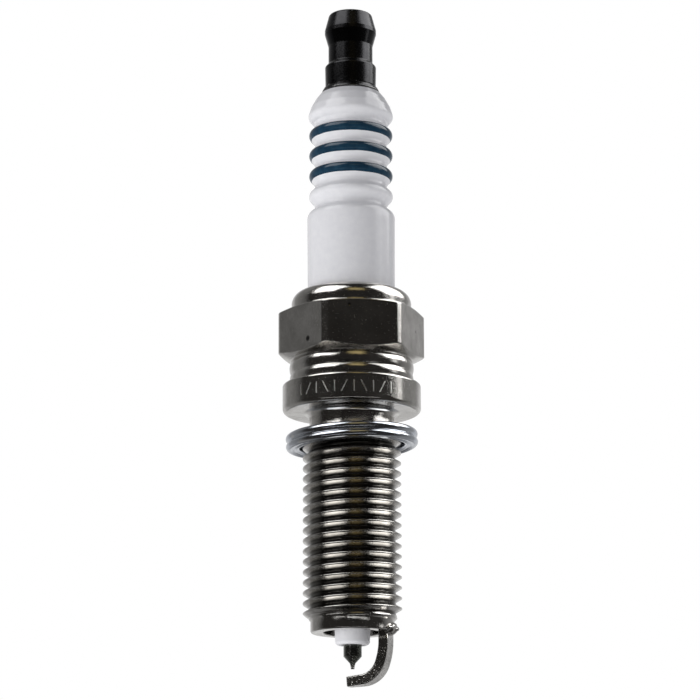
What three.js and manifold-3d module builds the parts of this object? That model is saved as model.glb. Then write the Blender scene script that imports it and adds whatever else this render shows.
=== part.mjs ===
// Spark plug for a motorcycle engine: M12 x 1.25 thread, 26.5 mm reach, 16 mm hexagon, five-rib insulator,
// removable terminal nut, fine-wire centre electrode and a folded sealing gasket that hangs loose on the
// neck.
//
// Millimetres, +Z up. The origin is on the plug's axis, in the plane of the shell's sealing face, which is
// the flat underside of the flange. The terminal is up and the spark gap is down. Angles about the axis are
// measured from -Y towards +X.
import * as THREE from 'three';
import { mergeVertices } from 'three/addons/utils/BufferGeometryUtils.js';
import Module from 'manifold-3d';

const wasm = await Module();
wasm.setup();

// ---- driving dimensions ----
const SEGMENTS = 24; // facets round every turned piece
const CLEARANCE = 0.05; // radial play between pieces that fit inside each other

const THREAD = { pitch: 1.25, majorR: 5.9, depth: 0.73, crestFlat: 0.156, crestZAtPlusX: -22.42 };
const THREAD_TOP_Z = -3.1; // where the thread runs out below the neck
const THREAD_END_Z = -25.15;
const SHELL_END_Z = -26.5; // the plug's reach
const PILOT_R = 4.98;
const NECK_R = 5.1;
const NECK_FILLET_R = 0.5;

const FLANGE_R = 8.33;
const FLANGE_TOP_Z = 3.4;
const FLANGE_EDGE = 0.35;
const WAIST_R = 7.5;
const HEX_ACROSS_FLATS = 15.8;
const HEX_CORNER_R = 8.9;
const HEX_CORNER_DEG = -20.3;
const HEX_BOTTOM_Z = 7.08; // at the turned-off corners
const HEX_TOP_Z = 12.08;
const HEX_BOTTOM_CHAMFER_DEG = 22.8;
const HEX_TOP_CHAMFER_DEG = 15;
const HEX_INNER_R = 7.2; // where both end cones stop
const CRIMP_ARC = { r: 5.7, z: 13.35, outer: 1.56, inner: 0.72 };

const CHAMBER_R = 6.4; // inside the hexagon, round the insulator's collar
const CHAMBER_FLOOR_Z = 2.9;
const SHELL_BORE_R = 4.12;
const LEDGE_Z = -9.9;
const NOSE_BORE_R = 3.45;

const INSULATOR_TOP_Z = 40.25;
const RIB = { count: 4, pitch: 2.596, firstGrooveZ: 36.07, toRib: 1.27, r: 5.12, crownR: 0.73 };
const GROOVE = { r: 4.38, rootR: 0.52 };
const BODY_R = 5.3;
const COLLAR_R = CHAMBER_R - CLEARANCE;
const COLLAR_TOP_Z = 9.2;
const STEM_R = 4.0; // the insulator below its collar
const NOSE_END_Z = -27.95;
const NOSE_END_R = 2.03;
const NOSE_ROOT_R = 2.95;
const STUD_BORE_R = 1.95;
const STACK_R = STUD_BORE_R - CLEARANCE; // the glass seals and the resistor
const STUD_FOOT = { r: 1.48, z: 6.1 }; // the pocket in the upper seal round the stud's lower end
const UPPER_SEAL_Z = [3.25, 9.2];
const RESISTOR_Z = [-3.2, 3.2];
const LOWER_SEAL_Z = [-6.6, -3.25];
const ELECTRODE_BORE_R = 1.14;
const BORE_STEP_Z = -8.0;

const TERMINAL_TOP_Z = 50.5;
const TERMINAL_BOTTOM_Z = 40.95;
const STUD_THREAD = { pitch: 0.7, majorR: 1.95, depth: 0.4, crestFlat: 0.09, crestZAtPlusX: 41.0 };
const STUD_THREAD_R = 1.5;
const NUT_BORE_R = 2.08;
const NUT_BORE_TOP_Z = 48.4;

const ELECTRODE_R = 1.08;
const ELECTRODE_HEAD = { r: 1.8, topZ: -6.7 };
const CORE_BORE = { r: 0.66, endZ: -26.2, pointZ: -26.9 };
const CORE_R = 0.61;
const CORE_Z = [-26.1, -6.75];
const ELECTRODE_SHOULDER_Z = -29.3;
const TIP_R = 0.22;
const TIP_END_Z = -30.77;

const STRAP = {
  width: 2.4, thickness: 1.18, azimuthDeg: 71.5, rootInnerR: 3.55, tipR: -0.55, tipWidth: 1.5,
};
const STRAP_BENDS = [{ radius: 7.4, toDeg: 20 }, { radius: 2.2, toDeg: 86 }];
const STRAP_BEND_START_Z = -27.6;
const STRAP_TAPER_LENGTH = 1.6;

const GASKET = {
  outerR: 7.93, innerR: 6.2, beadR: 0.47, lipR: 5.45, lipLowZ: 0.45, lipHighZ: 0.8, z: -3.36, tiltDeg: 2.4,
};
const RING_WIRE_R = 0.44;
const UPPER_RING_Z = 13.08;
const LOWER_RING_Z = 10.45;
const TALC_Z = [10.97, 12.55];

const rad = THREE.MathUtils.degToRad;

// ---- outlines in the plane of the axis, as [r, z] pairs ----

// Points of an arc about (r, z), from one angle to another, counter-clockwise angles from the +r direction.
function arc(r, z, radius, fromDeg, toDeg, steps) {
  const points = [];
  for (let i = 0; i <= steps; i++) {
    const angle = rad(fromDeg + ((toDeg - fromDeg) * i) / steps);
    points.push([r + radius * Math.cos(angle), z + radius * Math.sin(angle)]);
  }
  return points;
}

// A turned solid: the outline runs up the outside. With closed set it also runs back down a bore.
function turned(outline, closed = false) {
  const points = outline.map(([r, z]) => new THREE.Vector2(r, z));
  if (closed) points.push(points[0].clone());
  return new THREE.LatheGeometry(points, SEGMENTS).rotateX(Math.PI / 2);
}

// A plain cylinder from one height to another, with a small chamfer on both ends.
function rod(radius, lowZ, highZ, chamfer = 0.1) {
  return turned([
    [0, lowZ], [radius - chamfer, lowZ], [radius, lowZ + chamfer],
    [radius, highZ - chamfer], [radius - chamfer, highZ], [0, highZ],
  ]);
}

// ---- solids for cutting and joining ----

function toSolid(geometry) {
  const bare = geometry.clone();
  bare.deleteAttribute('normal');
  bare.deleteAttribute('uv');
  const merged = mergeVertices(bare, 1e-5);
  const mesh = new wasm.Mesh({
    numProp: 3,
    vertProperties: new Float32Array(merged.attributes.position.array),
    triVerts: new Uint32Array(withoutSlivers(merged.index.array)),
  });
  return new wasm.Manifold(mesh);
}

// Turned geometry has empty triangles where its outline meets the axis.
function withoutSlivers(index) {
  const kept = [];
  for (let i = 0; i < index.length; i += 3) {
    const [a, b, c] = [index[i], index[i + 1], index[i + 2]];
    if (a !== b && b !== c && c !== a) kept.push(a, b, c);
  }
  return kept;
}

function toGeometry(solid) {
  const mesh = solid.getMesh();
  const geometry = new THREE.BufferGeometry();
  geometry.setAttribute('position', new THREE.BufferAttribute(Float32Array.from(mesh.vertProperties), 3));
  geometry.setIndex(Array.from(mesh.triVerts));
  geometry.computeVertexNormals();
  return geometry;
}

// ---- screw thread ----

// A right-handed 60 degree thread on a core, as a sheared grid: four rows of points to each pitch, each row
// climbing one pitch per turn, so that a row's end meets the row four places on.
function threadedRod(thread, lowZ, highZ, segments) {
  const rootR = thread.majorR - thread.depth;
  const flank = thread.depth * Math.tan(rad(30));
  const half = thread.crestFlat / 2;
  const rows = [
    [-half, thread.majorR], [half, thread.majorR],
    [half + flank, rootR], [thread.pitch - half - flank, rootR],
  ];
  const perPitch = rows.length;
  const crestAtStart = thread.crestZAtPlusX - thread.pitch / 4;
  const firstPitch = Math.floor((lowZ - crestAtStart) / thread.pitch) - 2;
  const pitches = Math.ceil((highZ - lowZ) / thread.pitch) + 3;
  const lastRow = pitches * perPitch;
  const position = [];
  const columns = [];
  const addPoint = (column, row) => {
    const [offset, radius] = rows[row % perPitch];
    const turn = column / segments;
    const angle = 2 * Math.PI * turn;
    const z = crestAtStart + thread.pitch * (firstPitch + Math.floor(row / perPitch) + turn) + offset;
    position.push(radius * Math.sin(angle), -radius * Math.cos(angle), z);
    return position.length / 3 - 1;
  };
  for (let column = 0; column < segments; column++) {
    const last = column === 0 ? lastRow + perPitch : lastRow;
    columns.push(Array.from({ length: last + 1 }, (_, row) => addPoint(column, row)));
  }
  const at = (column, row) => (column < segments ? columns[column][row] : columns[0][row + perPitch]);
  const index = [];
  for (let column = 0; column < segments; column++) {
    for (let row = 0; row < lastRow; row++) {
      const [a, b] = [at(column, row), at(column + 1, row)];
      const [c, d] = [at(column + 1, row + 1), at(column, row + 1)];
      index.push(a, b, c, a, c, d);
    }
  }
  // Both ends are closed by a fan over the row's turn and the step down to where the turn began.
  const endLoop = (row) => {
    const loop = [];
    for (let column = 0; column <= segments; column++) loop.push(at(column, row));
    for (let step = perPitch - 1; step > 0; step--) loop.push(columns[0][row + step]);
    return loop;
  };
  const closeEnd = (row, z, faceUp) => {
    position.push(0, 0, z);
    const centre = position.length / 3 - 1;
    const loop = endLoop(row);
    loop.forEach((from, i) => {
      const to = loop[(i + 1) % loop.length];
      if (faceUp) index.push(centre, from, to);
      else index.push(centre, to, from);
    });
  };
  closeEnd(0, crestAtStart + thread.pitch * (firstPitch - 1), false);
  closeEnd(lastRow, crestAtStart + thread.pitch * (firstPitch + pitches + 2), true);
  const geometry = new THREE.BufferGeometry();
  geometry.setAttribute('position', new THREE.Float32BufferAttribute(position, 3));
  geometry.setIndex(index);
  return toSolid(geometry.toNonIndexed());
}

// ---- metal shell ----

// The hexagon bar, turned down at both ends by cones that leave a chamfer on each corner.
function hexagon() {
  const apothem = HEX_ACROSS_FLATS / 2;
  const sharpR = apothem / Math.cos(Math.PI / 6);
  const bottomZ = HEX_BOTTOM_Z - (HEX_CORNER_R - HEX_INNER_R) * Math.tan(rad(HEX_BOTTOM_CHAMFER_DEG));
  const topZ = HEX_TOP_Z + (HEX_CORNER_R - HEX_INNER_R) * Math.tan(rad(HEX_TOP_CHAMFER_DEG));
  const shape = new THREE.Shape();
  for (let corner = 0; corner < 6; corner++) {
    const angle = rad(HEX_CORNER_DEG + 60 * corner);
    const [x, y] = [sharpR * Math.sin(angle), -sharpR * Math.cos(angle)];
    if (corner === 0) shape.moveTo(x, y);
    else shape.lineTo(x, y);
  }
  const bar = new THREE.ExtrudeGeometry(shape, { depth: topZ - bottomZ, bevelEnabled: false });
  bar.translate(0, 0, bottomZ);
  const envelope = turned([
    [0, bottomZ], [HEX_INNER_R, bottomZ], [HEX_CORNER_R, HEX_BOTTOM_Z],
    [HEX_CORNER_R, HEX_TOP_Z], [HEX_INNER_R, topZ], [0, topZ],
  ]);
  return toSolid(bar).intersect(toSolid(envelope));
}

function shellBody() {
  const { r, z, outer } = CRIMP_ARC;
  return turned([
    [0, SHELL_END_Z], [PILOT_R - 0.15, SHELL_END_Z], [PILOT_R, SHELL_END_Z + 0.15], [PILOT_R, -15],
    [NECK_R, -14], [NECK_R, -NECK_FILLET_R],
    ...arc(NECK_R + NECK_FILLET_R, -NECK_FILLET_R, NECK_FILLET_R, 150, 90, 2),
    [FLANGE_R - FLANGE_EDGE, 0], [FLANGE_R - 0.1, 0.1], [FLANGE_R, FLANGE_EDGE],
    [FLANGE_R, FLANGE_TOP_Z - 0.3], [FLANGE_R - 0.3, FLANGE_TOP_Z], [WAIST_R - 0.25, FLANGE_TOP_Z + 0.1],
    [WAIST_R - 0.15, 4.7], [WAIST_R, 5.1], [WAIST_R - 0.07, 5.35], [WAIST_R, 5.6], [WAIST_R, 6.4],
    [WAIST_R - 0.2, 6.9],
    [WAIST_R - 0.2, HEX_TOP_Z], [r + outer, HEX_TOP_Z + 0.1],
    ...arc(r, z, outer, 0, 97, 6),
    [0, z + outer],
  ]);
}

function shellBore() {
  const { r, z, inner, outer } = CRIMP_ARC;
  const lipR = BODY_R + 0.08;
  return turned([
    [0, SHELL_END_Z - 1], [NOSE_BORE_R, SHELL_END_Z - 1], [NOSE_BORE_R, LEDGE_Z - 0.4],
    [SHELL_BORE_R, LEDGE_Z], [SHELL_BORE_R, CHAMBER_FLOOR_Z - 1.3], [CHAMBER_R, CHAMBER_FLOOR_Z],
    ...arc(r, z, inner, 0, 100, 4),
    [lipR, z + inner], [lipR, z + outer + 1], [0, z + outer + 1],
  ]);
}

function metalShell() {
  const runOut = toSolid(turned([
    [0, THREAD_END_Z - 0.2], [PILOT_R - 0.1, THREAD_END_Z - 0.2],
    [THREAD.majorR + 0.05, THREAD_END_Z + 0.7], [THREAD.majorR + 0.05, THREAD_TOP_Z - 0.6],
    [NECK_R - 0.1, THREAD_TOP_Z], [0, THREAD_TOP_Z],
  ]));
  const thread = threadedRod(THREAD, THREAD_END_Z, THREAD_TOP_Z, SEGMENTS).intersect(runOut);
  return toGeometry(toSolid(shellBody()).add(hexagon()).add(thread).subtract(toSolid(shellBore())));
}

// ---- insulator ----

// One outline for the four round ribs: each crown and each groove is an arc, joined by a straight flank.
function ribOutline() {
  const points = [];
  for (let k = RIB.count; k >= 0; k--) {
    const grooveZ = RIB.firstGrooveZ - RIB.pitch * k;
    points.push(...arc(GROOVE.r + GROOVE.rootR, grooveZ, GROOVE.rootR, 225, 135, 3));
    const crownZ = grooveZ + RIB.pitch - RIB.toRib;
    if (k > 0) points.push(...arc(RIB.r - RIB.crownR, crownZ, RIB.crownR, -55, 55, 4));
  }
  return points;
}

function insulator() {
  return turned([
    [ELECTRODE_BORE_R, NOSE_END_Z], [NOSE_END_R - 0.45, NOSE_END_Z],
    ...arc(NOSE_END_R - 0.4, NOSE_END_Z + 0.4, 0.4, -60, 0, 2),
    [NOSE_ROOT_R, LEDGE_Z - 0.1], [STEM_R, LEDGE_Z + 0.95],
    [STEM_R, CHAMBER_FLOOR_Z - 1.1], [COLLAR_R, CHAMBER_FLOOR_Z + 0.5],
    [COLLAR_R, COLLAR_TOP_Z], [BODY_R - 0.02, COLLAR_TOP_Z + 0.7],
    [BODY_R - 0.02, 15], [BODY_R, 22.6], [BODY_R + 0.03, 24.2], [5.32, 24.75], [5.1, 25.1],
    ...ribOutline(),
    [5.1, 36.85], [5.17, 37.25], [5.08, 37.7], [4.84, 38.25], [4.56, 38.85], [4.18, 39.45],
    [3.85, 39.95], [3.55, INSULATOR_TOP_Z],
    [STUD_BORE_R, INSULATOR_TOP_Z], [STUD_BORE_R, BORE_STEP_Z], [ELECTRODE_BORE_R, BORE_STEP_Z - 0.6],
  ], true);
}

// ---- terminal ----

function terminalStud() {
  const flangeLowZ = INSULATOR_TOP_Z + CLEARANCE;
  const flangeHighZ = TERMINAL_BOTTOM_Z - CLEARANCE;
  const core = turned([
    [0, 6.2], [1.2, 6.2], [1.42, 6.5], [1.42, 9.4], [1.75, 9.9], [1.85, 10.2], [1.85, flangeLowZ],
    [3.5, flangeLowZ], [3.45, flangeLowZ + 0.3], [3.25, flangeHighZ], [STUD_THREAD_R, flangeHighZ],
    [STUD_THREAD_R, 47.4], [0, 47.4],
  ]);
  const threadLowZ = flangeHighZ - 0.2;
  const threadHighZ = 47.8;
  const runOut = toSolid(turned([
    [0, threadLowZ], [2, threadLowZ], [2, threadHighZ - 0.5], [1.5, threadHighZ], [0, threadHighZ],
  ]));
  const thread = threadedRod(STUD_THREAD, threadLowZ, threadHighZ, SEGMENTS / 2).intersect(runOut);
  return toGeometry(toSolid(core).add(thread));
}

function terminalNut() {
  return turned([
    [NUT_BORE_R, TERMINAL_BOTTOM_Z], [3.0, TERMINAL_BOTTOM_Z], [3.1, TERMINAL_BOTTOM_Z + 0.12],
    [3.15, 42.5], [3.15, 43.5], [3.02, 43.75], [2.72, 44.2], [2.72, 46.3], [2.82, 46.8], [3.15, 47.93],
    [3.15, 48.38], [2.66, 50.25], [2.5, TERMINAL_TOP_Z - 0.06], [2.3, TERMINAL_TOP_Z], [0, TERMINAL_TOP_Z],
    [0, NUT_BORE_TOP_Z + 0.8], [NUT_BORE_R, NUT_BORE_TOP_Z], [NUT_BORE_R, TERMINAL_BOTTOM_Z],
  ]);
}

// ---- the stack inside the insulator's bore ----

function upperGlassSeal() {
  const [lowZ, highZ] = UPPER_SEAL_Z;
  const { r, z } = STUD_FOOT;
  return turned([[0, lowZ], [STACK_R, lowZ], [STACK_R, highZ], [r, highZ], [r, z], [0, z]]);
}

function centreElectrode() {
  const headLowZ = BORE_STEP_Z + 0.08;
  const { r, topZ } = ELECTRODE_HEAD;
  return turned([
    [0, TIP_END_Z + 0.3], [TIP_R + 0.04, TIP_END_Z + 0.3], [0.33, -30.1],
    [ELECTRODE_R, ELECTRODE_SHOULDER_Z], [ELECTRODE_R, headLowZ - 0.75], [r, headLowZ], [r, topZ],
    [CORE_BORE.r, topZ], [CORE_BORE.r, CORE_BORE.endZ], [0, CORE_BORE.pointZ],
  ]);
}

// ---- packing between the insulator and the shell ----

function wireRing(z) {
  const r = (BODY_R + CHAMBER_R) / 2;
  return turned(arc(r, z, RING_WIRE_R, 0, 315, 7), true);
}

function talcFilling() {
  const [inner, outer] = [BODY_R + CLEARANCE, CHAMBER_R - CLEARANCE];
  const [lowZ, highZ] = TALC_Z;
  return turned([[inner, lowZ], [outer, lowZ], [outer, highZ], [inner, highZ]], true);
}

function seatWasher() {
  const [inner, outer] = [3.5, 4.05];
  return turned([
    [inner, LEDGE_Z - 0.25], [outer, LEDGE_Z + 0.08], [outer, LEDGE_Z + 0.6], [inner, LEDGE_Z + 0.2],
  ], true);
}

// ---- gasket ----

// A ring folded from sheet steel: two round beads outside with a groove between them, a flat annulus on
// each face, and a thin lip at the top of the hole that keeps it above the thread. Heights are from its
// middle.
function gasket() {
  const { outerR, innerR, beadR, lipR, lipLowZ, lipHighZ } = GASKET;
  const beadCentreR = outerR - beadR;
  return turned([
    [innerR, -2 * beadR],
    ...arc(beadCentreR, -beadR, beadR, -90, 60, 5),
    ...arc(beadCentreR, beadR, beadR, -60, 90, 5),
    [innerR, 2 * beadR], [lipR, lipHighZ], [lipR, lipLowZ], [innerR, lipLowZ],
  ], true);
}

// ---- ground electrode ----

// One long side of the strap in its own plane, offset outwards from its inner face by the given distance.
function strapLine(offset) {
  const points = [[STRAP.rootInnerR + offset, SHELL_END_Z - 0.02]];
  let [r, z, lean] = [STRAP.rootInnerR, STRAP_BEND_START_Z, 0];
  for (const { radius, toDeg } of STRAP_BENDS) {
    const centreR = r - radius * Math.cos(rad(lean));
    const centreZ = z + radius * Math.sin(rad(lean));
    const steps = Math.ceil((toDeg - lean) / 11);
    points.push(...arc(centreR, centreZ, radius + offset, -lean, -toDeg, steps));
    r = centreR + radius * Math.cos(rad(toDeg));
    z = centreZ - radius * Math.sin(rad(toDeg));
    lean = toDeg;
  }
  const along = (r - STRAP.tipR) / Math.sin(rad(lean));
  const [outR, outZ] = [Math.cos(rad(lean)) * offset, -Math.sin(rad(lean)) * offset];
  points.push([STRAP.tipR + outR, z - along * Math.cos(rad(lean)) + outZ]);
  return points;
}

// The strap is cut from its side outline, then narrowed towards its tip by a trimming outline seen from
// above.
function groundElectrode() {
  const side = [...strapLine(0), ...strapLine(STRAP.thickness).reverse()];
  const outline = new THREE.Shape(side.map(([r, z]) => new THREE.Vector2(r, z)));
  const strap = new THREE.ExtrudeGeometry(outline, { depth: STRAP.width, bevelEnabled: false });
  strap.translate(0, 0, -STRAP.width / 2).rotateX(Math.PI / 2);
  const [half, tipHalf] = [STRAP.width / 2 + 0.5, STRAP.tipWidth / 2];
  const taperR = STRAP.tipR + STRAP_TAPER_LENGTH;
  const trimOutline = new THREE.Shape([
    new THREE.Vector2(STRAP.tipR - 0.5, -tipHalf + 0.14), new THREE.Vector2(taperR, -STRAP.width / 2),
    new THREE.Vector2(taperR, -half), new THREE.Vector2(7, -half), new THREE.Vector2(7, half),
    new THREE.Vector2(taperR, half), new THREE.Vector2(taperR, STRAP.width / 2),
    new THREE.Vector2(STRAP.tipR - 0.5, tipHalf - 0.14),
  ]);
  const trim = new THREE.ExtrudeGeometry(trimOutline, { depth: 10, bevelEnabled: false });
  trim.translate(0, 0, SHELL_END_Z - 9);
  return toGeometry(toSolid(strap).intersect(toSolid(trim)));
}

// ---- assembly ----

function material(color, roughness, metalness) {
  return new THREE.MeshStandardMaterial({ color, roughness, metalness });
}

function piece(name, geometry, look) {
  const mesh = new THREE.Mesh(geometry, look);
  mesh.name = name;
  return mesh;
}

const looks = {
  nickel: () => material(0x9c9a94, 0.25, 1),
  blackSteel: () => material(0x1b1b1d, 0.35, 1),
  glaze: () => material(0xf2f2f0, 0.12, 0),
  zinc: () => material(0xa9adb3, 0.3, 1),
  strap: () => material(0x3b3a38, 0.55, 1),
  copper: () => material(0xb87345, 0.4, 1),
  iridium: () => material(0x56565a, 0.35, 1),
  glassSeal: () => material(0x5d4a3c, 0.5, 0),
  resistor: () => material(0x2b2a2a, 0.8, 0),
  talc: () => material(0xd9d4c4, 0.95, 0),
  steel: () => material(0x8b8d90, 0.4, 1),
};

const plug = new THREE.Group();
plug.add(piece('metal_shell', metalShell(), looks.nickel()));
plug.add(piece('insulator', insulator(), looks.glaze()));
plug.add(piece('terminal_stud', terminalStud(), looks.blackSteel()));
plug.add(piece('terminal_nut', terminalNut(), looks.blackSteel()));
plug.add(piece('upper_glass_seal', upperGlassSeal(), looks.glassSeal()));
plug.add(piece('resistor', rod(STACK_R, ...RESISTOR_Z), looks.resistor()));
plug.add(piece('lower_glass_seal', rod(STACK_R, ...LOWER_SEAL_Z), looks.glassSeal()));
plug.add(piece('centre_electrode', centreElectrode(), looks.strap()));
plug.add(piece('centre_electrode_core', rod(CORE_R, ...CORE_Z), looks.copper()));
plug.add(piece('iridium_tip', rod(TIP_R, TIP_END_Z, TIP_END_Z + 0.28, 0.02), looks.iridium()));
plug.add(piece('upper_packing_ring', wireRing(UPPER_RING_Z), looks.steel()));
plug.add(piece('talc_filling', talcFilling(), looks.talc()));
plug.add(piece('lower_packing_ring', wireRing(LOWER_RING_Z), looks.steel()));
plug.add(piece('seat_packing_washer', seatWasher(), looks.steel()));

const strap = piece('ground_electrode', groundElectrode(), looks.strap());
strap.rotation.z = rad(STRAP.azimuthDeg - 90);
plug.add(strap);

const sealingGasket = piece('sealing_gasket', gasket(), looks.zinc());
sealingGasket.position.z = GASKET.z;
sealingGasket.rotation.y = -rad(GASKET.tiltDeg);
plug.add(sealingGasket);

export default plug;
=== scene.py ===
"""Spark plug: the looks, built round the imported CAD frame.

Lengths in the outlines below are millimetres in the plug's own frame: the axis is Z, the sealing face is at
z = 0 and the terminal is up. Every mesh is written in metres. Angles about the axis run from -Y, the camera's
side, towards +X.
"""

import math

import bmesh
import bpy
import numpy as np
from mathutils import Matrix, Vector, noise


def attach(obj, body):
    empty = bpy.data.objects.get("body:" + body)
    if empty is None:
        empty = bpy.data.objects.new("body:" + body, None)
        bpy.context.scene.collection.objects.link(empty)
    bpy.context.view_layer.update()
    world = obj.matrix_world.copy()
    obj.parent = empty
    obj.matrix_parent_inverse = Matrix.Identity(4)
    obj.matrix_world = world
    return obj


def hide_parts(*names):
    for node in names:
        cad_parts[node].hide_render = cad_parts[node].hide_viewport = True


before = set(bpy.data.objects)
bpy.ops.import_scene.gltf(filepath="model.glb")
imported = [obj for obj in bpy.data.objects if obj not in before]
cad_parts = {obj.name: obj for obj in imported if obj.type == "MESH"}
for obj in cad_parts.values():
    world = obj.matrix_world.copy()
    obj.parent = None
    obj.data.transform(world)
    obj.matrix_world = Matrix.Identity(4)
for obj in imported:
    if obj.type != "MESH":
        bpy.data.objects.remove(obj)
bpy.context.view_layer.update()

MM = 0.001

# ---- driving dimensions, in millimetres ----

# metal shell
PITCH = 1.25
THREAD_R = 5.9
THREAD_DEPTH = 0.73
THREAD_CREST_Z = -22.42     # a crest's height on the +X side
THREAD_TOP_Z = -3.1
THREAD_END_Z = -25.15
THREAD_HALF_ANGLE = math.radians(30)
REACH_Z = -26.5
PILOT_R = 4.98
NECK_R = 5.1
NECK_FILLET = 0.75
FLANGE_R = 8.33
FLANGE_TOP_Z = 3.4
WAIST_R = 7.5
HEX_APOTHEM = 7.9
HEX_CORNER_R = 8.9
HEX_CORNER_DEG = -20.3
HEX_BOTTOM_Z = 7.08
HEX_TOP_Z = 12.08
HEX_BOTTOM_CHAMFER = 0.42   # rise per millimetre of radius
HEX_TOP_CHAMFER = 0.27
HEX_SINK = 0.22             # how far the cones' inner ends lie below the waist's surface
EDGE_ROUNDING = 0.10
CRIMP_R = 5.7
CRIMP_Z = 13.35
CRIMP_OUTER = 1.56
CRIMP_INNER = 0.72
CONE_TOP_Z = HEX_TOP_Z + (HEX_CORNER_R - CRIMP_R - CRIMP_OUTER) * HEX_TOP_CHAMFER
CHAMBER_R = 6.42
CHAMBER_FLOOR_Z = 2.9
SHELL_BORE_R = 4.12
SHELL_BORE_TOP_Z = 1.6
LEDGE_Z = -9.9
NOSE_BORE_R = 3.45

# stamped strokes on the flange
STROKE_WIDTH = 0.17
STROKE_HEIGHT = 1.35
STROKE_PROUD = 0.045
STROKE_ROOT = -0.1          # how far its foot lies under the flange's surface
STROKE_LEANS = (0.0, 0.34, 0.0, -0.34)
STROKE_TURNS = np.arange(-46, 40, 8.0)

# insulator
BODY_R = 5.3
INSULATOR_TOP_Z = 40.25
COLLAR_R = 6.35
STEM_R = 4.0
NOSE_R = 2.03
NOSE_END_Z = -27.95
STUD_BORE_R = 1.95
ELECTRODE_BORE_R = 1.12
RIB_R = 5.12
RIB_COUNT = 4
RIB_CROWN = 0.73
RIB_PITCH = 2.596
GROOVE_R = 4.38
GROOVE_ROUND = 0.52
FIRST_GROOVE_Z = 36.07
GROOVE_TO_RIB = 1.27
SHOULDER_ROUND = 1.05
PAINTED_RIBS = 3
PAINT_HALF_WIDTH = 0.6

# terminal
NUT_BORE_R = 2.08
NUT_BOTTOM_Z = 40.98
NUT_TOP_Z = 50.55
CLIP_R = 2.72               # the neck that a plug cap's clip grips
HEAD_R = 3.17
STUD_PITCH = 0.7
STUD_THREAD_R = 1.95
STUD_THREAD_DEPTH = 0.4
STUD_THREAD_Z = (41.3, 47.4)
STUD_FOOT_Z = 6.2
STUD_SHANK_R = 1.85
STUD_FLANGE_Z = (40.3, 40.9)
STUD_END_Z = 47.8

# gasket; heights are from its middle
GASKET_Z = -3.36
GASKET_TILT = 2.4
GASKET_BEAD_R = 0.47
GASKET_BEAD_CENTRE_R = 7.46
GASKET_FOLD_R = 0.34
GASKET_FOLD_CENTRE_R = 6.62
GASKET_LIP_R = 5.45

# electrodes
ELECTRODE_R = 1.08
ELECTRODE_HEAD_R = 1.8
TIP_R = 0.22
TIP_END_Z = -30.77
TIP_WELD_Z = TIP_END_Z + 0.28
STRAP_AZIMUTH = 71.5
STRAP_INNER_R = 3.55
STRAP_BEND_Z = -27.6
STRAP_BENDS = ((7.4, 20.0), (2.2, 86.0))    # radius, and lean at its end in degrees
STRAP_OVERREACH = 0.55      # how far the tip passes the axis
STRAP_THICKNESS = 1.18
STRAP_WIDTH = 2.4
STRAP_TIP_WIDTH = 1.5
STRAP_TAPER = 1.6
STRAP_CORNER = 0.16
WELD_R = 4.52
WELD_Z = REACH_Z + 0.32
WELD_HALF = (1.02, 1.6, 0.72)               # outwards, across and up
WELD_LUMPS = 0.3

# ---- finish ----
SPECK_ROUGHNESS = 0.62
GLAZE_ROUGHNESS = 0.15
NOSE_ROUGHNESS = 0.50
GLAZE_SPECULAR = 0.35
BUMP_HEIGHT = 0.03          # millimetres
# Lighter colour on sharp edges: partly wear, partly a painted highlight.
EDGE_WEAR_AND_HIGHLIGHT = (0.82, 0.81, 0.79, 1)
HOLLOW_STAIN = (0.05, 0.048, 0.045, 1)
# Colour painted into the thread's roots as shade.
THREAD_ROOT_SHADE = (0.12, 0.115, 0.105, 1)

# ---- studio; metres and degrees ----
FLOOR_SIZE = 8
FLOOR_Z = -0.62             # below every lamp
FLOOR_GLOW = 0.42
FILL_LIGHT = 0.34
LAMP_DISTANCE = 0.6
LAMP_AIM_Z = 0.008
CAMERA_LENS = 148.3         # millimetres, on a 36 mm sensor
CAMERA_ELEVATION = -13.0
CAMERA_DISTANCE = 348.7 * MM
CAMERA_AIM_Z = 7.852 * MM
CAMERA_ROLL = -0.2
CAMERA_SHIFT = -0.0022


# ---- outlines: lists of (r, z) ----

def arc(r, z, radius, start, end, steps):
    """Points of an arc about (r, z); angles run counter-clockwise from the outward direction."""
    turns = np.radians(np.linspace(start, end, steps + 1))
    return [(r + radius * math.cos(a), z + radius * math.sin(a)) for a in turns]


def rounded(corners, steps=5, closed=False):
    """The outline with each corner given as (r, z, radius) replaced by an arc, and with a point just outside
    each arc so that the flats beside it shade flat. A corner given as (r, z) stays as it is."""
    straight = math.radians(88)
    points = [Vector(corner[:2]) for corner in corners]
    result = []
    for i, corner in enumerate(corners):
        here = points[i]
        back = points[i - 1] - here
        ahead = points[(i + 1) % len(points)] - here
        at_end = not closed and i in (0, len(points) - 1)
        if at_end or len(corner) == 2 or back.angle(ahead) / 2 > straight:
            result.append(tuple(here))
            continue
        half = back.angle(ahead) / 2
        cut = min(corner[2] / math.tan(half), 0.42 * back.length, 0.42 * ahead.length)
        radius = cut * math.tan(half)
        start = here + back.normalized() * cut
        end = here + ahead.normalized() * cut
        centre = here + (back.normalized() + ahead.normalized()).normalized() * (radius / math.sin(half))
        support = min(0.05, 0.1 * cut + 0.02)
        if back.length > 3 * cut:
            result.append(tuple(start + back.normalized() * support))
        for k in range(steps + 1):
            direction = (start - centre).lerp(end - centre, k / steps).normalized()
            result.append(tuple(centre + direction * radius))
        if ahead.length > 3 * cut:
            result.append(tuple(end + ahead.normalized() * support))
    return result


def bulge(peak_r, z, half_height, depth):
    """A turned bulge that stands depth proud of its edges."""
    radius = (half_height ** 2 + depth ** 2) / (2 * depth)
    spread = math.degrees(math.asin(half_height / radius))
    return arc(peak_r - radius, z, radius, -spread, spread, 10)


# ---- mesh building ----

def even_angles(count):
    return np.linspace(0, 2 * math.pi, count, endpoint=False)


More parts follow.
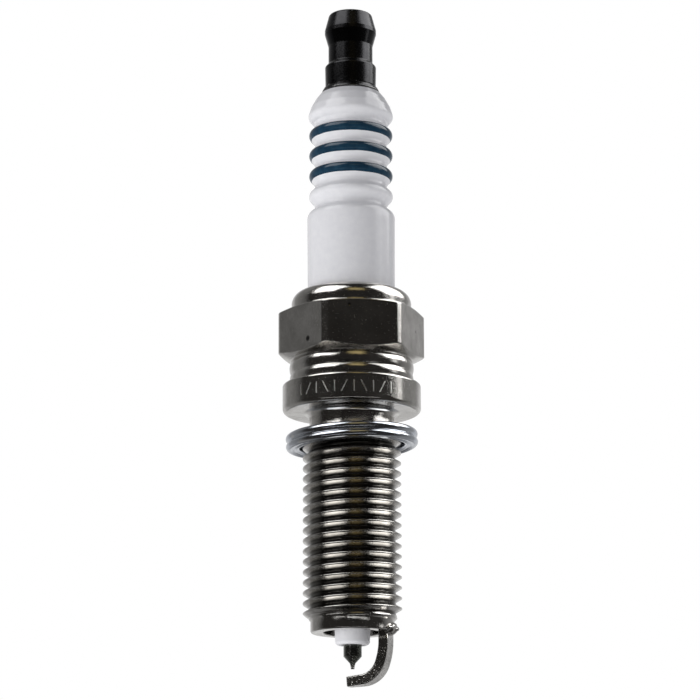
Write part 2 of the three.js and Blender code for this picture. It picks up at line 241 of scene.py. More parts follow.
def ring_points(angles, radius, z):
    """One ring: radius and z are numbers, or arrays with a value for each angle."""
    radius = np.broadcast_to(radius, angles.shape)
    z = np.broadcast_to(z, angles.shape)
    return np.stack([radius * np.sin(angles), -radius * np.cos(angles), z], axis=1)


def turned_rings(angles, outline):
    """A ring for each point of the outline, or a single point where the outline meets the axis."""
    return [np.array([[0, 0, z]]) if r < 1e-6 else ring_points(angles, r, z) for r, z in outline]


def surface(name, rings, closed=False, gap=None, extra=((), ())):
    """A mesh from rings of points, each ring joined to the next. A ring of one point is a pole. The pair that
    starts at ring number gap is left open for the extra points and faces, which join it."""
    points, faces, starts = [], [], []
    for ring in rings:
        starts.append(len(points))
        points.extend(ring)

    def at(ring, column):
        return starts[ring] + column % len(rings[ring])

    pairs = list(zip(range(len(rings)), range(1, len(rings))))
    if closed:
        pairs.append((len(rings) - 1, 0))
    for low, high in pairs:
        if low == gap:
            continue
        for c in range(max(len(rings[low]), len(rings[high]))):
            face = [at(low, c), at(low, c + 1), at(high, c + 1), at(high, c)]
            faces.append([v for k, v in enumerate(face) if v != face[k - 1]])
    extra_points, extra_faces = extra
    offset = len(points)
    points.extend(extra_points)
    faces += [[v + offset for v in face] for face in extra_faces]
    return make_object(name, np.array(points) * MM, faces)


def make_object(name, points, faces):
    """A smooth-shaded object from points in metres, with points that coincide joined."""
    mesh = bpy.data.meshes.new(name)
    mesh.from_pydata([tuple(p) for p in points], [], faces)
    mesh.update()
    shape = bmesh.new()
    shape.from_mesh(mesh)
    bmesh.ops.remove_doubles(shape, verts=shape.verts, dist=2e-7)
    bmesh.ops.recalc_face_normals(shape, faces=shape.faces)
    shape.to_mesh(mesh)
    shape.free()
    mesh.shade_smooth()
    obj = bpy.data.objects.new(name, mesh)
    bpy.context.scene.collection.objects.link(obj)
    return obj


def lathe(name, outline, columns=160, closed=False):
    return surface(name, turned_rings(even_angles(columns), outline), closed)


def soft_min(a, b, width):
    """The smaller of a and b, with the corner between them rounded over the given width."""
    h = np.clip(0.5 + 0.5 * (b - a) / width, 0, 1)
    return b + (a - b) * h - width * h * (1 - h)


# ---- screw threads ----

def thread_rows(pitch, crest_r, depth):
    """One pitch of the thread's outline, as (rise from the crest's middle, radius)."""
    crest = pitch / 16
    flank = depth * math.tan(THREAD_HALF_ANGLE)
    root = crest_r - depth
    root_round = 0.11 * pitch
    crest_round = 0.05 * pitch
    outline = [
        (-pitch / 2, root), (-crest - flank, root, root_round), (-crest, crest_r, crest_round),
        (crest, crest_r, crest_round), (crest + flank, root, root_round), (pitch / 2, root)]
    return rounded(outline, steps=2)[:-1]


def thread_surface(angles, pitch, crest_r, depth, crest_z, envelope):
    """The threaded stretch as a sheared grid. Each row climbs one pitch per turn, and rows past either end
    are pressed onto the end ring, so that the stretch joins the plain rings above and below. The envelope's
    (z, r) points give both ends, and the radius that the thread is cut back to near them."""
    one = thread_rows(pitch, crest_r, depth)
    per_pitch = len(one)
    z_low, z_high = envelope[0][0], envelope[-1][0]
    start = crest_z - pitch / 4
    first = math.floor((z_low - start) / pitch) - 2
    rows = (math.ceil((z_high - z_low) / pitch) + 4) * per_pitch
    count = len(angles)
    points, faces = [], []

    def row_points(row, columns):
        rise, radius = one[row % per_pitch]
        climb = pitch * angles[columns] / (2 * math.pi)
        z = np.clip(start + pitch * (first + row // per_pitch) + rise + climb, z_low, z_high)
        limit = np.interp(z, *zip(*envelope))
        r = np.where((z <= z_low) | (z >= z_high), limit, np.minimum(radius, limit))
        return ring_points(angles[columns], r, z)

    for row in range(rows + 1):
        points.extend(row_points(row, np.arange(count)))
    for row in range(rows + 1, rows + 1 + per_pitch):
        points.extend(row_points(row, np.array([0])))

    def at(column, row):
        if column < count:
            return row * count + column
        row += per_pitch
        return row * count if row <= rows else (rows + 1) * count + row - rows - 1

    for row in range(rows):
        for column in range(count):
            near, far = column, column + 1
            faces.append([at(near, row), at(far, row), at(far, row + 1), at(near, row + 1)])
    return points, faces


# ---- metal shell ----

def shell_angles():
    """Angles round the shell: close together at the hexagon's corners, wider on its flats."""
    near = np.arange(-7, 7.01, 0.5)
    wide = np.linspace(7, 53, 24)[1:-1]
    sector = np.concatenate([near, wide])
    turns = [HEX_CORNER_DEG + 60 * k + sector for k in range(6)]
    return np.radians(np.sort(np.concatenate(turns) % 360))


def hexagon_radius(angles, z):
    """The hexagon's radius at one height: flats, turned corners and the cone at each end."""
    from_corner = (np.degrees(angles) - HEX_CORNER_DEG + 30) % 60 - 30
    flat = HEX_APOTHEM / np.cos(np.radians(30 - np.abs(from_corner)))
    radius = soft_min(flat, HEX_CORNER_R, EDGE_ROUNDING)
    top = HEX_CORNER_R + (HEX_TOP_Z - z) / HEX_TOP_CHAMFER
    bottom = HEX_CORNER_R + (z - HEX_BOTTOM_Z) / HEX_BOTTOM_CHAMFER
    radius = soft_min(radius, top, 2.0 * EDGE_ROUNDING)
    return soft_min(radius, bottom, 2.0 * EDGE_ROUNDING)


def hexagon_rings(angles):
    """Rings up the hexagon, close together over the cones."""
    low = HEX_BOTTOM_Z - (HEX_CORNER_R - WAIST_R + 0.2) * HEX_BOTTOM_CHAMFER
    heights = np.concatenate([
        np.arange(low, HEX_BOTTOM_Z + 0.25, 0.035),
        np.linspace(HEX_BOTTOM_Z + 0.3, HEX_TOP_Z - 0.25, 9),
        np.arange(HEX_TOP_Z - 0.2, CONE_TOP_Z, 0.03)])
    rings = []
    for z in heights:
        radius = np.maximum(hexagon_radius(angles, z), WAIST_R - HEX_SINK)
        rings.append(ring_points(angles, radius, z))
    return rings


def flange_and_waist():
    """From the top of the thread up the neck, round the flange and over the waist's two bulges."""
    outline = rounded([
        (NECK_R, THREAD_TOP_Z), (NECK_R, 0.0, NECK_FILLET), (FLANGE_R, 0.0, 0.5),
        (FLANGE_R, FLANGE_TOP_Z, 0.24), (WAIST_R - 0.28, FLANGE_TOP_Z)])
    outline += bulge(WAIST_R - 0.04, 4.12, 0.51, 0.1)
    outline += bulge(WAIST_R, 5.45, 0.8, 0.18)
    return outline


def crimped_rim():
    """From the hexagon's top over the crimp and back under its lip."""
    wall_r = CRIMP_R + CRIMP_OUTER
    lip_r = BODY_R + 0.03
    outline = [
        (wall_r, CONE_TOP_Z + 0.02), (wall_r - 0.015, CONE_TOP_Z + 0.07),
        (wall_r - 0.02, CONE_TOP_Z + 0.2), (wall_r - 0.005, CONE_TOP_Z + 0.5)]
    outline += arc(CRIMP_R, CRIMP_Z, CRIMP_OUTER, 0, 101, 26)
    outline += [(lip_r, CRIMP_Z + CRIMP_OUTER - 0.06), (lip_r, CRIMP_Z + 0.9)]
    outline += arc(CRIMP_R, CRIMP_Z, CRIMP_INNER, 90, 0, 6)
    return outline


def metal_shell():
    """One closed surface, from inside the bore's mouth up the outside and back down the bore."""
    angles = shell_angles()
    thread = thread_surface(angles, PITCH, THREAD_R, THREAD_DEPTH, THREAD_CREST_Z, [
        (THREAD_END_Z, PILOT_R), (THREAD_END_Z + 1.0, THREAD_R + 0.1),
        (THREAD_TOP_Z - 0.7, THREAD_R + 0.1), (THREAD_TOP_Z, NECK_R)])
    end = rounded([
        (NOSE_BORE_R, -16), (NOSE_BORE_R, REACH_Z, 0.12), (PILOT_R, REACH_Z, 0.2), (PILOT_R, THREAD_END_Z)])
    bore = [
        (CHAMBER_R, CHAMBER_FLOOR_Z), (SHELL_BORE_R, SHELL_BORE_TOP_Z), (SHELL_BORE_R, LEDGE_Z),
        (NOSE_BORE_R, LEDGE_Z - 0.4)]
    rings = turned_rings(angles, end + flange_and_waist())
    rings += hexagon_rings(angles)
    rings += turned_rings(angles, crimped_rim() + bore)
    return surface("shell_body", rings, closed=True, gap=len(end) - 1, extra=thread)


def flange_marks():
    """Plain upright and slanted strokes round the flange's front, standing a little proud of it."""
    section = ((-1.3, STROKE_ROOT), (-0.6, STROKE_PROUD), (0.6, STROKE_PROUD), (1.3, STROKE_ROOT))
    sides = ((0, 1, 5, 4), (1, 2, 6, 5), (2, 3, 7, 6), (3, 0, 4, 7), (3, 2, 1, 0), (4, 5, 6, 7))
    points, faces = [], []
    for number, turn in enumerate(STROKE_TURNS):
        lean = STROKE_LEANS[number % len(STROKE_LEANS)]
        start = len(points)
        for z, across in ((-STROKE_HEIGHT / 2, -lean), (STROKE_HEIGHT / 2, lean)):
            for side, rise in section:
                angle = math.radians(turn) + (across + side * STROKE_WIDTH / 2) / FLANGE_R
                r = FLANGE_R + rise
                points.append((r * math.sin(angle), -r * math.cos(angle), FLANGE_TOP_Z / 2 + z))
        faces += [[start + v for v in side] for side in sides]
    marks = make_object("flange_marks", np.array(points) * MM, faces)
    marks.data.shade_flat()
    return marks


# ---- insulator ----

def ribs():
    """The round ribs from the lowest groove to the highest: each crown and each groove is an arc."""
    outline = []
    for k in range(RIB_COUNT, -1, -1):
        groove_z = FIRST_GROOVE_Z - RIB_PITCH * k
        if k < RIB_COUNT:
            outline += arc(RIB_R - RIB_CROWN, groove_z - GROOVE_TO_RIB, RIB_CROWN, -58, 58, 12)
        outline += arc(GROOVE_R + GROOVE_ROUND, groove_z, GROOVE_ROUND, 227, 133, 8)
    return outline


def insulator():
    nose_and_collar = rounded([
        (ELECTRODE_BORE_R, NOSE_END_Z), (NOSE_R, NOSE_END_Z, 0.45), (2.95, -10, 0.5), (STEM_R, -8.95, 0.3),
        (STEM_R, 1.8, 0.4), (COLLAR_R, 3.4, 0.4), (COLLAR_R, 9.2, 0.4), (BODY_R, 9.9, 0.4), (BODY_R, 15)], 6)
    barrel = [(BODY_R + 0.01, 19), (BODY_R + 0.03, 22), (BODY_R + 0.04, 23.6)]
    barrel += arc(BODY_R + 0.05 - SHOULDER_ROUND, 24.15, SHOULDER_ROUND, 4, 52, 8)
    bell = rounded([
        (4.68, 36.42), (5.28, 37.1, 0.75), (4.9, 38.3, 1.5), (4.28, 39.42, 1.5), (3.72, 40.12, 0.3),
        (3.45, INSULATOR_TOP_Z, 0.2), (STUD_BORE_R, INSULATOR_TOP_Z)], 8)
    bore = [(STUD_BORE_R, -8), (ELECTRODE_BORE_R, -8.6)]
    outline = nose_and_collar + barrel + ribs() + bell + bore
    return lathe("insulator_body", outline, columns=192, closed=True)


# ---- terminal ----

def terminal_nut():
    outline = rounded([
        (NUT_BORE_R, NUT_BOTTOM_Z), (3.1, NUT_BOTTOM_Z, 0.12), (3.15, 43.62, 0.25), (CLIP_R, 44.1, 0.12),
        (CLIP_R, 46.35, 0.4), (HEAD_R, 47.95, 0.18), (HEAD_R, 48.42, 0.18), (2.62, 50.5, 0.42),
        (0, NUT_TOP_Z)], 6)
    outline += [(0, 49.2), (NUT_BORE_R, 48.4)]
    return lathe("terminal_cap", outline, columns=144, closed=True)


def terminal_stud():
    angles = even_angles(96)
    z_low, z_high = STUD_THREAD_Z
    flange_low, flange_high = STUD_FLANGE_Z
    root_r = STUD_THREAD_R - STUD_THREAD_DEPTH
    thread = thread_surface(angles, STUD_PITCH, STUD_THREAD_R, STUD_THREAD_DEPTH, z_low, [
        (z_low, root_r), (z_low + 0.5, STUD_THREAD_R), (z_high - 0.4, STUD_THREAD_R), (z_high, root_r)])
    lower = rounded([
        (0, STUD_FOOT_Z), (1.2, STUD_FOOT_Z, 0.1), (1.42, STUD_FOOT_Z + 0.3, 0.1), (1.42, 9.4, 0.1),
        (STUD_SHANK_R, 10.2, 0.2), (STUD_SHANK_R, flange_low), (3.6, flange_low, 0.12), (3.45, 40.62, 0.15),
        (3.28, flange_high, 0.1), (root_r, flange_high, 0.08), (root_r, z_low)], 4)
    upper = rounded([
        (root_r, z_high), (root_r, STUD_END_Z - 0.2, 0.06), (1.3, STUD_END_Z, 0.06), (0, STUD_END_Z)], 3)
    rings = turned_rings(angles, lower + upper)
    return surface("terminal_stem", rings, gap=len(lower) - 1, extra=thread)


# ---- gasket ----

def gasket():
    """A ring folded from sheet: two round beads outside, the folded edge below and the lip in the hole."""
    face_z = 2 * GASKET_BEAD_R
    fold_z = -face_z + GASKET_FOLD_R
    outline = arc(GASKET_FOLD_CENTRE_R, fold_z + 0.02, GASKET_FOLD_R, -175, -55, 8)
    outline += [(GASKET_BEAD_CENTRE_R - 0.36, -face_z + 0.2)]
    outline += arc(GASKET_BEAD_CENTRE_R, -GASKET_BEAD_R, GASKET_BEAD_R, -118, 62, 16)
    outline += arc(GASKET_BEAD_CENTRE_R, GASKET_BEAD_R, GASKET_BEAD_R, -62, 90, 14)
    outline += rounded([
        (GASKET_BEAD_CENTRE_R, face_z), (6.2, face_z, 0.2), (GASKET_LIP_R, 0.8, 0.1),
        (GASKET_LIP_R, 0.5, 0.1), (6.15, 0.4, 0.2), (GASKET_FOLD_CENTRE_R - GASKET_FOLD_R, fold_z)], 4)[1:-1]
    obj = lathe("crush_gasket", outline, columns=192, closed=True)
    tilt = Matrix.Rotation(-math.radians(GASKET_TILT), 4, "Y")
    obj.data.transform(Matrix.Translation((0, 0, GASKET_Z * MM)) @ tilt)
    return obj


# ---- electrodes ----

def centre_electrode():
    outline = rounded([
        (0, TIP_WELD_Z), (0.24, TIP_WELD_Z), (0.33, -30.1, 0.12), (ELECTRODE_R, -29.3, 0.07),
        (ELECTRODE_R, -8.6, 0.1), (ELECTRODE_HEAD_R, -7.92, 0.1), (ELECTRODE_HEAD_R, -6.7, 0.1),
        (0, -6.7)], 4)
    return lathe("electrode_rod", outline, columns=96)


def iridium_tip():
    top_z = TIP_END_Z + 0.29
    outline = rounded([(0, TIP_END_Z), (TIP_R, TIP_END_Z, 0.03), (TIP_R + 0.01, top_z), (0, top_z)], 3)
    return lathe("fine_wire_tip", outline, columns=64)


def turned_to_strap(points):
    """Points given as (outwards, across, up) for a strap at azimuth 0, turned to the strap's own azimuth."""
    points = np.array(points)
    turn = math.radians(STRAP_AZIMUTH)
    placed = np.outer(points[:, 0], (math.sin(turn), -math.cos(turn), 0))
    placed += np.outer(points[:, 1], (math.cos(turn), math.sin(turn), 0))
    placed[:, 2] = points[:, 2]
    return placed


def strap_path():
    """The strap's inner face as (r, z, lean in degrees), from the shell's end to the tip."""
    r, z, lean = STRAP_INNER_R, STRAP_BEND_Z, 0.0
    path = [(r, REACH_Z, lean), (r, z, lean)]
    for radius, to in STRAP_BENDS:
        centre_r = r - radius * math.cos(math.radians(lean))
        centre_z = z + radius * math.sin(math.radians(lean))
        for step in np.linspace(lean, to, int((to - lean) / 3) + 1)[1:]:
            a = math.radians(step)
            path.append((centre_r + radius * math.cos(a), centre_z - radius * math.sin(a), step))
        r, z, lean = path[-1]
    a = math.radians(lean)
    for distance in np.linspace(0.15, (r + STRAP_OVERREACH) / math.sin(a), 12):
        path.append((r - distance * math.sin(a), z - distance * math.cos(a), lean))
    return path


def ground_electrode():
    path = strap_path()
    tip_r = path[-1][0]
    points = []
    for r, z, lean in path:
        a = math.radians(lean)
        share = min(1.0, max(0.0, (r - tip_r) / STRAP_TAPER)) if lean > 80 else 1.0
        half = (STRAP_TIP_WIDTH + (STRAP_WIDTH - STRAP_TIP_WIDTH) * share) / 2
        corners = ((0, -half), (STRAP_THICKNESS, -half), (STRAP_THICKNESS, half), (0, half))
        section = rounded([(*corner, STRAP_CORNER) for corner in corners], 4, closed=True)
        points += [(r + u * math.cos(a), v, z - u * math.sin(a)) for u, v in section]
    n = len(section)
    faces = []
    for k in range(len(path) - 1):
        for c in range(n):
            d = (c + 1) % n
            faces.append([k * n + c, k * n + d, (k + 1) * n + d, (k + 1) * n + c])
    faces.append(list(range(n)))
    faces.append([(len(path) - 1) * n + c for c in reversed(range(n))])
    return make_object("ground_strap", turned_to_strap(points) * MM, faces)


def weld_bead():
    """The rough bead where the strap was welded on, wrapped round its root and a little beyond the shell."""
    half_r, half_across, half_z = WELD_HALF
    rings = []
    for lift in np.radians(np.linspace(-90, 90, 13)):
        ring = []
        for turn in even_angles(40):
            flat = math.cos(lift)
            unit = Vector((flat * math.cos(turn), flat * math.sin(turn), math.sin(lift)))
            lump = 1 + WELD_LUMPS * noise.noise(unit * 2.6 + Vector((4.1, 0.7, 2.2)))
            ring.append((WELD_R + half_r * unit.x * lump, half_across * unit.y * lump,
                         WELD_Z + half_z * unit.z * lump))
        rings.append(turned_to_strap(ring))
    return surface("weld_bead", rings)


# ---- node trees ----

class Graph:
    """A node tree being built. What the methods take as values are constants, or sockets to link."""

    def __init__(self, tree):
        self.nodes = tree.nodes
        self.links = tree.links

    def add(self, kind, **settings):
        node = self.nodes.new(kind)
        for key, value in settings.items():
            if key in node.inputs:
                self.feed(node.inputs[key], value)
            else:
                setattr(node, key, value)
        return node

    def feed(self, socket, value):
        if isinstance(value, bpy.types.NodeSocket):
            self.links.new(value, socket)
        else:
            socket.default_value = value

    def fed(self, kind, values, **settings):
        """A node with its first inputs fed in order."""
        node = self.add(kind, **settings)
        for socket, value in zip(node.inputs, values):
            self.feed(socket, value)
        return node

    def place(self):
        """Object coordinates, in metres."""
        return self.nodes.new("ShaderNodeTexCoord").outputs["Object"]

    def split(self, vector):
        return self.fed("ShaderNodeSeparateXYZ", [vector]).outputs

    def calculate(self, operation, *values):
        return self.fed("ShaderNodeMath", values, operation=operation).outputs[0]

    def measure(self, operation, *values):
        """Vector maths with a number as its result."""
        return self.fed("ShaderNodeVectorMath", values, operation=operation).outputs["Value"]

    def blend(self, share, first, second, blend_type="MIX"):
        node = self.add("ShaderNodeMix", data_type="RGBA", blend_type=blend_type, Factor=share)
        self.feed(node.inputs[6], first)
        self.feed(node.inputs[7], second)
        return node.outputs[2]

    def noise(self, scale, detail, rough):
        """Noise in object coordinates, with its scale in features per millimetre."""
        mapping = self.add("ShaderNodeMapping", Vector=self.place(), Scale=(1 / MM, 1 / MM, 1 / MM))
        texture = self.add("ShaderNodeTexNoise", Vector=mapping.outputs["Vector"], Scale=scale,
                           Detail=detail, Roughness=rough)
        return texture.outputs["Fac"]

    def ramp(self, source, *stops):
        """The source turned into a colour by (position, colour) stops. A number stands for a grey."""
        node = self.add("ShaderNodeValToRGB", Fac=source)
        elements = node.color_ramp.elements
        while len(elements) > 1:
            elements.remove(elements[-1])
        for k, (position, shade) in enumerate(stops):
            element = elements[0] if k == 0 else elements.new(position)
            element.position = position
            color = shade if isinstance(shade, tuple) else (shade, shade, shade)
            element.color = (*color, 1)
        return node.outputs["Color"]

    def bump(self, shader, height, strength):
        node = self.add("ShaderNodeBump", Height=height, Strength=strength, Distance=BUMP_HEIGHT * MM)
        self.feed(shader.inputs["Normal"], node.outputs["Normal"])


def new_material(name):
    material = bpy.data.materials.new(name)
    material.use_nodes = True
    return material, Graph(material.node_tree), material.node_tree.nodes["Principled BSDF"]


def paint_on(obj, material):
    obj.data.materials.clear()
    obj.data.materials.append(material)


# ---- materials ----

def on_facet(azimuth, along, z):
    """A point on one of the hexagon's flats, in metres."""
    a = math.radians(azimuth)
    return Vector((HEX_APOTHEM * math.sin(a) + along * math.cos(a),
                   -HEX_APOTHEM * math.cos(a) + along * math.sin(a), z)) * MM


def with_root_shade(graph, color, z_low, z_high, r_low, r_high):
    """The colour, darkened towards the thread's roots as painted shade. Sizes are in millimetres."""
    place = graph.place()
    level = graph.fed("ShaderNodeVectorMath", [place, (1 / MM, 1 / MM, 0)], operation="MULTIPLY")
    depth = graph.nodes.new("ShaderNodeMapRange")
    graph.feed(depth.inputs["Value"], graph.measure("LENGTH", level.outputs["Vector"]))
    for socket, value in zip(("From Min", "From Max", "To Min", "To Max"), (r_low, r_high, 1, 0)):
        depth.inputs[socket].default_value = value
    away = graph.calculate("SUBTRACT", graph.split(place)["Z"], (z_low + z_high) / 2 * MM)
    inside = graph.calculate("LESS_THAN", graph.calculate("ABSOLUTE", away), (z_high - z_low) / 2 * MM)
    amount = graph.calculate("MULTIPLY", depth.outputs["Result"], inside)
    return graph.blend(amount, color, THREAD_ROOT_SHADE)


def pit_mask(graph, scale):
    cells = graph.add("ShaderNodeTexVoronoi", Vector=graph.place(), Scale=scale / MM)
    return graph.ramp(cells.outputs["Distance"], (0.12, 1), (0.3, 0))


def nick_mask(graph, centre, size):
    distance = graph.measure("DISTANCE", graph.place(), centre)
    return graph.ramp(graph.calculate("DIVIDE", distance, size * MM), (0.45, 1), (1.0, 0))


def metal(name, dark, light, rough, bumps=0.15, grain=6.0, pits=0.0, nicks=(), root_shade=None):
    """Bare or plated metal: tint varies softly, roughness and bump carry fine scuffs, and pits and nicks are
    dark hollows. Sharp edges are lighter, partly as wear and partly as a painted highlight. rough is the
    lowest and highest roughness, and a nick is a place and a size. The last argument, if given, is the height
    range and the radius range of a thread whose roots are darkened with painted shade."""
    material, graph, shader = new_material(name)
    shader.inputs["Metallic"].default_value = 1.0
    color = graph.ramp(graph.noise(0.35, 5, 0.6), (0.3, dark), (0.7, light))
    fine = graph.noise(grain, 6, 0.7)
    scuffs = graph.ramp(fine, (0.35, rough[0]), (0.7, rough[1]))
    specks = graph.ramp(graph.noise(9.0, 3, 0.6), (0.67, 0), (0.76, SPECK_ROUGHNESS))
    graph.feed(shader.inputs["Roughness"], graph.blend(1.0, scuffs, specks, "LIGHTEN"))

    # Sharp edges are lightened: partly wear, partly a painted highlight.
    pointiness = graph.nodes.new("ShaderNodeNewGeometry").outputs["Pointiness"]
    color = graph.blend(graph.ramp(pointiness, (0.52, 0), (0.58, 0.55)), color, EDGE_WEAR_AND_HIGHLIGHT)
    # Painted shade: the thread's roots are darkened.
    if root_shade:
        color = with_root_shade(graph, color, *root_shade)
    hollows = [pit_mask(graph, pits)] if pits else []
    hollows += [nick_mask(graph, centre, size) for centre, size in nicks]
    height = fine
    for hollow in hollows:
        color = graph.blend(hollow, color, HOLLOW_STAIN)
        height = graph.calculate("SUBTRACT", height, hollow)
    graph.feed(shader.inputs["Base Color"], color)
    graph.bump(shader, height, bumps)
    return material


def matt(name, dark, light, rough, grain, bumps=0.3):
    """Glass, carbon or pressed powder: mottled colour, and roughness and bump that follow the grain."""
    material, graph, shader = new_material(name)
    fine = graph.noise(grain, 5, 0.65)
    mottle = graph.noise(0.5, 5, 0.6)
    graph.feed(shader.inputs["Base Color"], graph.ramp(mottle, (0.3, dark), (0.7, light)))
    graph.feed(shader.inputs["Roughness"], graph.ramp(fine, (0.35, rough[0]), (0.7, rough[1])))
    graph.bump(shader, fine, bumps)
    return material


def glaze_material():
    """White glaze on the barrel, bare ceramic on the nose, and dark blue rings on three ribs."""
    material, graph, shader = new_material("glazed_ceramic_banded")
    wobble = graph.calculate("MULTIPLY", graph.noise(0.5, 2, 0.5), 0.08)
    height = graph.calculate("MULTIPLY_ADD", graph.split(graph.place())["Z"], 1 / MM, wobble)
    painted = 0.0
    for k in range(PAINTED_RIBS):
        centre = FIRST_GROOVE_Z - RIB_PITCH * k - GROOVE_TO_RIB + 0.04
        away = graph.calculate("ABSOLUTE", graph.calculate("SUBTRACT", height, centre))
        band = graph.calculate("LESS_THAN", away, PAINT_HALF_WIDTH)
        painted = graph.calculate("MAXIMUM", painted, band)
    blotch = graph.noise(1.2, 5, 0.6)
    white = graph.ramp(blotch, (0.3, (0.83, 0.83, 0.86)), (0.75, (0.89, 0.89, 0.91)))
    blue = graph.ramp(blotch, (0.35, (0.008, 0.032, 0.062)), (0.7, (0.016, 0.055, 0.095)))
    graph.feed(shader.inputs["Base Color"], graph.blend(painted, white, blue))
    bare = graph.calculate("LESS_THAN", height, REACH_Z + 2)
    rough = graph.calculate("MULTIPLY_ADD", bare, NOSE_ROUGHNESS - GLAZE_ROUGHNESS, GLAZE_ROUGHNESS)
    graph.feed(shader.inputs["Roughness"], rough)
    shader.inputs["Specular IOR Level"].default_value = GLAZE_SPECULAR
    return material


# ---- stage ----

def room_light(world):
    """What mirrors see, what lights matt surfaces and what the camera sees are three different rooms: a white
    sweep behind the plug with a dim room on the camera's side, an even fill, and a white backdrop."""
    world.use_nodes = True
    graph = Graph(world.node_tree)
    direction = graph.split(graph.nodes.new("ShaderNodeTexCoord").outputs["Generated"])
    sweep = graph.ramp(
        direction["Y"], (0.0, (0.022, 0.021, 0.020)), (0.14, 0.10), (0.45, 0.19), (0.73, 0.24),
        (0.82, (0.48, 0.48, 0.49)), (1.0, 0.75))
    # Well below the horizon only the sweep's two sides are bright.
    above = graph.calculate("MULTIPLY_ADD", direction["Z"], 0.5, 0.5)
    table = graph.ramp(above, (0.3, 0.12), (0.4, 1))
    aside = graph.calculate("ABSOLUTE", direction["X"])
    sides = graph.ramp(aside, (0.12, 0.1), (0.42, 1), (0.7, 1.25))
    lit = graph.blend(1.0, table, sides, "LIGHTEN")
    mirrored = graph.nodes["Background"]
    graph.feed(mirrored.inputs["Color"], graph.blend(1.0, sweep, lit, "MULTIPLY"))
    fill = graph.add("ShaderNodeBackground", Color=(0.97, 0.97, 1.0, 1), Strength=FILL_LIGHT)
    backdrop = graph.add("ShaderNodeBackground", Color=(1, 1, 1, 1), Strength=1.0)
    ray = graph.nodes.new("ShaderNodeLightPath").outputs
    unseen = graph.fed("ShaderNodeMixShader", [ray["Is Diffuse Ray"], mirrored.outputs[0], fill.outputs[0]])
    seen = graph.fed("ShaderNodeMixShader", [ray["Is Camera Ray"], unseen.outputs[0], backdrop.outputs[0]])
    graph.feed(graph.nodes["World Output"].inputs["Surface"], seen.outputs[0])


def towards(azimuth, elevation):
    """A unit vector away from the plug. Angles are degrees from -Y towards +X, and above the horizon."""
    a, e = math.radians(azimuth), math.radians(elevation)
    return Vector((math.sin(a) * math.cos(e), -math.cos(a) * math.cos(e), math.sin(e)))


def softbox(name, azimuth, elevation, width, height, radiance, color=(1, 1, 1), matt=True, mirrored=True):
    """A rectangular lamp facing the plug. Angles are seen from the plug; width and height in metres. matt and
    mirrored say whether it lights matt surfaces and whether it shows in shiny ones."""
    data = bpy.data.lights.new(name, "AREA")
    data.shape = "RECTANGLE"
    data.size, data.size_y = width, height
    data.energy = radiance * math.pi * width * height
    data.color = color
    lamp = bpy.data.objects.new(name, data)
    aim = Vector((0, 0, LAMP_AIM_Z))
    lamp.location = aim + LAMP_DISTANCE * towards(azimuth, elevation)
    lamp.rotation_euler = (aim - lamp.location).to_track_quat("-Z", "Y").to_euler()
    lamp.visible_diffuse = matt
    lamp.visible_glossy = mirrored
    lamp.visible_camera = False
    bpy.context.scene.collection.objects.link(lamp)


def pale_floor():
    bpy.ops.mesh.primitive_plane_add(size=FLOOR_SIZE, location=(0, 0, FLOOR_Z))
    floor = bpy.context.object
    floor.name = "studio_floor"
    material, graph, shader = new_material("pale_floor")
    pale = graph.ramp(graph.noise(0.01, 3, 0.5), (0.3, 0.82), (0.7, 0.86))
    graph.feed(shader.inputs["Base Color"], pale)
    shader.inputs["Roughness"].default_value = 0.9
    shader.inputs["Emission Color"].default_value = (1, 1, 1, 1)
    shader.inputs["Emission Strength"].default_value = FLOOR_GLOW
    paint_on(floor, material)
    floor.visible_glossy = False
    floor.visible_shadow = False


def studio():
    scene = bpy.context.scene
    scene.world = bpy.data.worlds.new("studio_air")
    room_light(scene.world)
    scene.view_settings.view_transform = "Standard"
    pale_floor()
    softbox("left_softbox", -57, 48, 0.46, 0.48, 3.2, matt=False)
    softbox("right_softbox", 94, 41, 0.56, 0.54, 3.6, matt=False)
    softbox("right_edge_box", 86, 10, 0.09, 0.30, 1.3, matt=False)
    softbox("warm_card", 10, 38, 0.26, 0.22, 0.45, (1.0, 0.80, 0.36), matt=False)
    softbox("low_strip", -4, -36, 1.1, 0.04, 1.5, matt=False)
    softbox("left_glow", -64, -15, 0.5, 0.5, 2.3, mirrored=False)
    softbox("right_glow", 118, -15, 0.4, 0.4, 1.2, mirrored=False)


def camera():
    data = bpy.data.cameras.new("photo_camera")
    data.lens = CAMERA_LENS
    data.sensor_width = 36
    data.shift_x = CAMERA_SHIFT
    data.clip_start = 0.01
    obj = bpy.data.objects.new("photo_camera", data)
    bpy.context.scene.collection.objects.link(obj)
    aim = Vector((0, 0, CAMERA_AIM_Z))
    obj.location = aim + CAMERA_DISTANCE * towards(0, CAMERA_ELEVATION)
    look = (aim - obj.location).to_track_quat("-Z", "Y").to_matrix()
    obj.rotation_euler = (look @ Matrix.Rotation(math.radians(CAMERA_ROLL), 3, "Z")).to_euler()
    bpy.context.scene.camera = obj


# ---- assembly ----

camera()
studio()

nickel = metal(
    "shell_nickel_plate", (0.48, 0.465, 0.44), (0.72, 0.70, 0.67), (0.05, 0.22), 0.45, grain=4.5,
    # The thread's roots get painted shade.
    root_shade=(THREAD_END_Z + 0.6, THREAD_TOP_Z - 0.3, THREAD_R - THREAD_DEPTH, THREAD_R - 0.34),
    nicks=[(on_facet(-50.3, 1.42, 7.9), 0.42), (on_facet(9.7, -1.6, 11.6), 0.22),
           (on_facet(69.7, 0.9, 9.6), 0.16)])
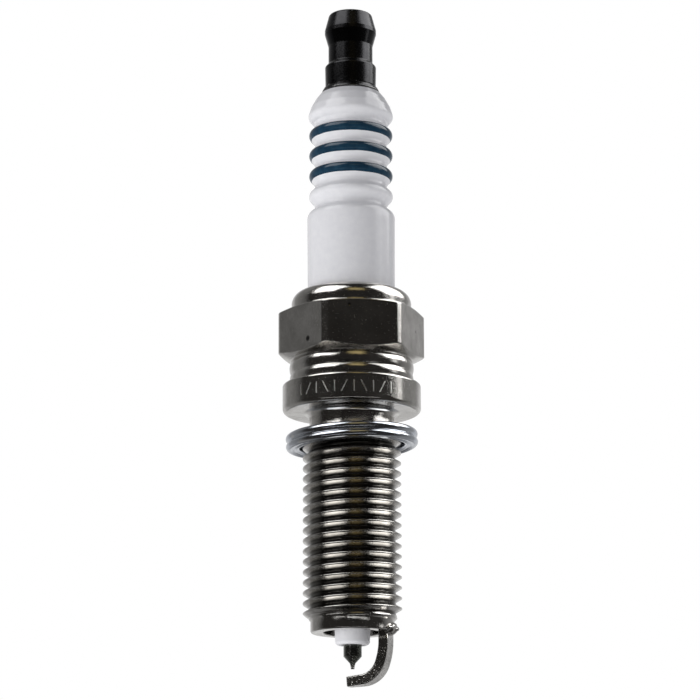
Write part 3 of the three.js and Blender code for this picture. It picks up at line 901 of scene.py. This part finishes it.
# The strokes are a lighter, rougher copy of the shell's nickel: the lighter tint is a painted highlight.
stamped = metal("stamped_strokes_highlit", (0.66, 0.65, 0.63), (0.86, 0.85, 0.83), (0.35, 0.55), 0.4)
black = metal("terminal_black_oxide", (0.020, 0.020, 0.021), (0.042, 0.042, 0.044), (0.18, 0.32), 0.1)
zinc = metal("gasket_zinc_plate", (0.50, 0.53, 0.58), (0.72, 0.75, 0.80), (0.10, 0.24), 0.2)
strap_alloy = metal(
    "strap_nickel_alloy", (0.40, 0.39, 0.37), (0.86, 0.84, 0.80), (0.10, 0.34), 0.9, grain=3.0, pits=3.0)
rod_alloy = metal("electrode_alloy", (0.15, 0.16, 0.145), (0.34, 0.35, 0.32), (0.16, 0.42), 0.6)
iridium = metal("tip_iridium", (0.10, 0.10, 0.11), (0.2, 0.2, 0.21), (0.3, 0.5), 0.3)
glaze = glaze_material()
steel = metal("packing_steel_wire", (0.3, 0.3, 0.3), (0.5, 0.5, 0.5), (0.25, 0.4), 0.2)
copper = metal("core_copper", (0.62, 0.26, 0.14), (0.85, 0.42, 0.26), (0.20, 0.38), 0.2)
seal_glass = matt("conductive_glass_seal", (0.05, 0.05, 0.045), (0.12, 0.115, 0.10), (0.15, 0.35), 6.0)
carbon = matt("resistor_carbon_glass", (0.018, 0.017, 0.016), (0.05, 0.047, 0.043), (0.45, 0.7), 8.0)
talc = matt("pressed_talc", (0.62, 0.61, 0.57), (0.78, 0.77, 0.73), (0.75, 0.95), 5.0)

PIECES = [
    (metal_shell, "metal_shell", "plug_body", "shell_nickel", nickel),
    (insulator, "insulator", "plug_body", "glazed_insulator", glaze),
    (terminal_stud, "terminal_stud", "plug_body", "terminal_black", black),
    (terminal_nut, "terminal_nut", "terminal", "terminal_black", black),
    (gasket, "sealing_gasket", "gasket", "gasket_zinc", zinc),
    (centre_electrode, "centre_electrode", "plug_body", "electrode_nickel", rod_alloy),
    (iridium_tip, "iridium_tip", "plug_body", "iridium", iridium),
    (ground_electrode, "ground_electrode", "plug_body", "electrode_nickel", strap_alloy),
    (weld_bead, None, "plug_body", "electrode_nickel", nickel),
    (flange_marks, None, "plug_body", "shell_nickel", stamped),
]
for build, node, body, slot, material in PIECES:
    made = build()
    paint_on(made, material)
    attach(made, body)
    if node:
        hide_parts(node)

INNER_LOOKS = {
    "upper_packing_ring": steel,
    "lower_packing_ring": steel,
    "seat_packing_washer": steel,
    "centre_electrode_core": copper,
    "upper_glass_seal": seal_glass,
    "lower_glass_seal": seal_glass,
    "resistor": carbon,
    "talc_filling": talc,
}
for node, material in INNER_LOOKS.items():
    for material_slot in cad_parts[node].material_slots:
        material_slot.material = material
